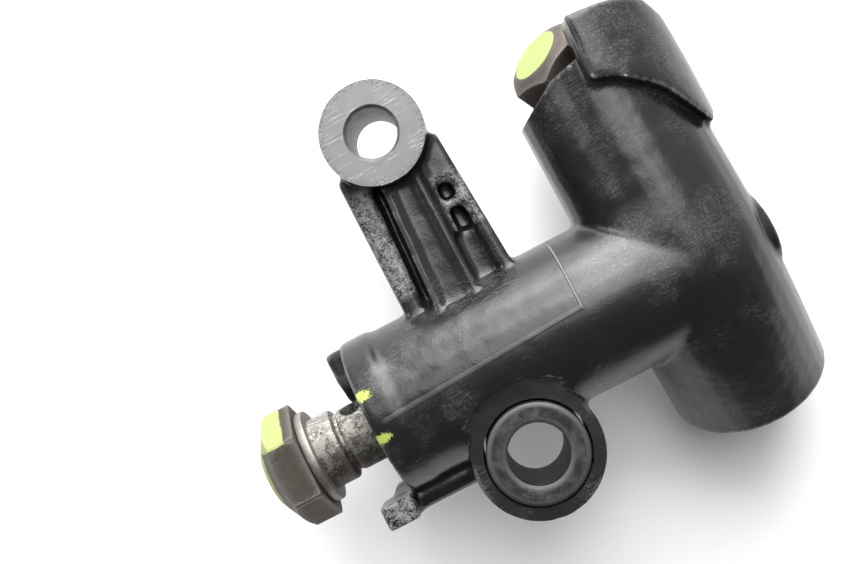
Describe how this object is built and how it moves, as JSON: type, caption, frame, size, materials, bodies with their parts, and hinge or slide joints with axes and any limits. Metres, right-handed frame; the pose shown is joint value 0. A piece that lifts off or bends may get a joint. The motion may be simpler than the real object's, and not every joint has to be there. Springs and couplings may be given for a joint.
{
  "type": "brake master cylinder",
  "caption": "Motorcycle brake master cylinder: black cast body with two mounting eyes, two banjo bolts, sprung piston set, pushrod with boot and a small inline valve.",
  "frame": {"origin": "middle of the whole part's box in X and Y, on the floor it stands on", "axes": "+X along the side tube from the front banjo bolt towards the pressure cylinder, +Y from the lower mounting eye towards the upper one, +Z along both eyes' holes"},
  "size_m": [0.0742, 0.064, 0.0335],
  "materials": {
    "black_paint": "gloss black paint over cast aluminium, worn at edges",
    "bolt_steel": "aged zinc plate with greenish yellow paint marks",
    "sleeve_steel": "dark pressed-in steel sleeve",
    "crush_washer": "flattened sealing washer",
    "plated_steel": "yellow zinc plate",
    "bright_steel": "bright spring steel",
    "anodised_aluminium": "anodised, turned",
    "rubber": "matt moulded rubber"
  },
  "bodies": {
    "base": {"body_casting": "black_paint", "lower_mount_sleeve": "sleeve_steel", "gallery_plug": "bolt_steel", "circlip": "bright_steel", "stop_washer": "plated_steel", "dust_boot": "rubber", "return_spring": "bright_steel", "valve_retainer": "plated_steel", "valve_seat": "bright_steel", "valve_spring": "bright_steel"},
    "piston": {"piston": "anodised_aluminium", "primary_cup": "rubber", "secondary_cup": "rubber", "cup_shim": "bright_steel", "spring_seat": "plated_steel"},
    "pushrod": {"pushrod": "plated_steel"},
    "valve": {"valve_piston": "anodised_aluminium", "valve_o_ring": "rubber"},
    "front_washer": {"banjo_washer": "crush_washer"},
    "front_bolt": {"banjo_bolt": "bolt_steel"},
    "rear_washer": {"port_washer": "crush_washer"},
    "rear_bolt": {"port_bolt": "bolt_steel"}
  },
  "joints": [
    {"name": "piston_slide", "type": "slide", "parent": "base", "child": "piston", "axis": [-0.0592, 0.846, 0.5299], "range_m": [0, 0.0045], "stiffness_N_per_m": 2000, "springref_m": -0.005, "deforming": ["return_spring", "dust_boot"]},
    {"name": "pushrod_swivel", "type": "hinge", "parent": "piston", "child": "pushrod", "pos_m": [0.02566, -0.01748, 0.01467], "axis": [0.9976, 0.0698, 0], "range_deg": [-3, 3], "stiffness_Nm_per_rad": 0.1, "deforming": ["dust_boot"]},
    {"name": "valve_slide", "type": "slide", "parent": "base", "child": "valve", "axis": [1, 0, 0], "range_m": [0, 0.002], "stiffness_N_per_m": 500, "springref_m": -0.004, "deforming": ["valve_spring"]},
    {"name": "front_bolt_travel", "type": "slide", "parent": "base", "child": "front_washer", "axis": [-1, 0, 0], "range_m": [-0.0087, 0.0081]},
    {"name": "front_bolt_turn", "type": "hinge", "parent": "front_washer", "child": "front_bolt", "pos_m": [-0.03093, -0.00827, 0.02137], "axis": [-1, 0, 0], "range_deg": [-2520, 2340]},
    {"name": "rear_bolt_travel", "type": "slide", "parent": "base", "child": "rear_washer", "axis": [-0.4629, 0.7704, 0.4384], "range_m": [0, 0.0074]},
    {"name": "rear_bolt_turn", "type": "hinge", "parent": "rear_washer", "child": "rear_bolt", "pos_m": [0.02143, 0.02136, 0.02097], "axis": [-0.4629, 0.7704, 0.4384], "range_deg": [0, 2160]}
  ],
  "couplings": [
    {"joint": "front_bolt_turn", "follows": "front_bolt_travel", "rad_per_m": 5026.5},
    {"joint": "rear_bolt_turn", "follows": "rear_bolt_travel", "rad_per_m": 5026.5}
  ]
}
